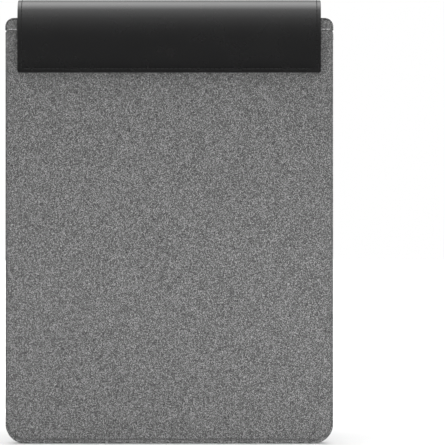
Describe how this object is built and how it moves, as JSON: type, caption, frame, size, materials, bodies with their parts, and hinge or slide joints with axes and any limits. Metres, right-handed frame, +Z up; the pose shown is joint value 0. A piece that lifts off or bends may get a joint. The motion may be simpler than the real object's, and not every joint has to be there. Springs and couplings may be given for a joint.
{
  "type": "tablet case",
  "caption": "Slim upright tablet sleeve of grey woven fabric with a padded pocket and a black leather flap that folds over the mouth and closes on hidden magnets.",
  "frame": {"origin": "centre of the sleeve's base, on the middle plane between its front and back panels", "axes": "+X to the right seen from the front, -Y out of the front that the flap closes on, +Z up to the mouth"},
  "size_m": [0.2454, 0.0206, 0.3323],
  "materials": {
    "melange_fabric": "woven grey melange, light and dark yarns mixed, matt",
    "foam": "closed-cell foam, matt",
    "plush_lining": "short soft brushed pile",
    "grey_thread": "twisted polyester thread",
    "black_leather": "smooth fine-grained black leather, satin",
    "flap_suede": "dark microfibre suede, matt",
    "black_thread": "waxed black thread, slight sheen",
    "board": "stiffening board",
    "steel_plate": "zinc-plated steel",
    "magnet": "nickel-plated magnet"
  },
  "bodies": {
    "sleeve": {"front_fabric": "melange_fabric", "front_foam": "foam", "front_lining": "plush_lining", "front_mouth_binding": "melange_fabric", "front_mouth_stitches": "grey_thread", "back_fabric": "melange_fabric", "back_foam": "foam", "back_lining": "plush_lining", "back_mouth_binding": "melange_fabric", "back_mouth_stitches": "grey_thread", "gusset_fabric": "melange_fabric", "gusset_foam": "foam", "gusset_lining": "plush_lining", "bar_tacks": "grey_thread", "closure_plates": "steel_plate", "flap_anchor": "black_leather", "anchor_stitches": "black_thread"},
    "roll_1": {"roll_leather_1": "black_leather", "roll_suede_1": "flap_suede", "roll_stitches_1": "black_thread"},
    "roll_2": {"roll_leather_2": "black_leather", "roll_suede_2": "flap_suede", "roll_stitches_2": "black_thread"},
    "roll_3": {"roll_leather_3": "black_leather", "roll_suede_3": "flap_suede", "roll_stitches_3": "black_thread"},
    "roll_4": {"roll_leather_4": "black_leather", "roll_suede_4": "flap_suede", "roll_stitches_4": "black_thread"},
    "roll_5": {"roll_leather_5": "black_leather", "roll_suede_5": "flap_suede", "roll_stitches_5": "black_thread"},
    "flap": {"flap_leather": "black_leather", "flap_board": "board", "flap_suede": "flap_suede", "flap_magnets": "magnet", "flap_stitches": "black_thread"}
  },
  "joints": [
    {"name": "flap_open", "type": "hinge", "parent": "sleeve", "child": "roll_1", "pos_m": [0, 0.0091, 0.3191], "axis": [-1, 0, 0], "range_deg": [0, 55]},
    {"name": "roll_bend_1", "type": "hinge", "parent": "roll_1", "child": "roll_2", "pos_m": [0, 0.00719, 0.32789], "axis": [-1, 0, 0], "range_deg": [0, 55]},
    {"name": "roll_bend_2", "type": "hinge", "parent": "roll_2", "child": "roll_3", "pos_m": [0, 0.00217, 0.33153], "axis": [-1, 0, 0], "range_deg": [0, 55]},
    {"name": "roll_bend_3", "type": "hinge", "parent": "roll_3", "child": "roll_4", "pos_m": [0, -0.00402, 0.33153], "axis": [-1, 0, 0], "range_deg": [0, 55]},
    {"name": "roll_bend_4", "type": "hinge", "parent": "roll_4", "child": "roll_5", "pos_m": [0, -0.00904, 0.32789], "axis": [-1, 0, 0], "range_deg": [0, 55]},
    {"name": "flap_bend", "type": "hinge", "parent": "roll_5", "child": "flap", "pos_m": [0, -0.01095, 0.322], "axis": [-1, 0, 0], "range_deg": [0, 55]}
  ],
  "couplings": [
    {"joint": "roll_bend_1", "follows": "flap_open", "ratio": 1},
    {"joint": "roll_bend_2", "follows": "flap_open", "ratio": 1},
    {"joint": "roll_bend_3", "follows": "flap_open", "ratio": 1},
    {"joint": "roll_bend_4", "follows": "flap_open", "ratio": 1},
    {"joint": "flap_bend", "follows": "flap_open", "ratio": 1}
  ]
}
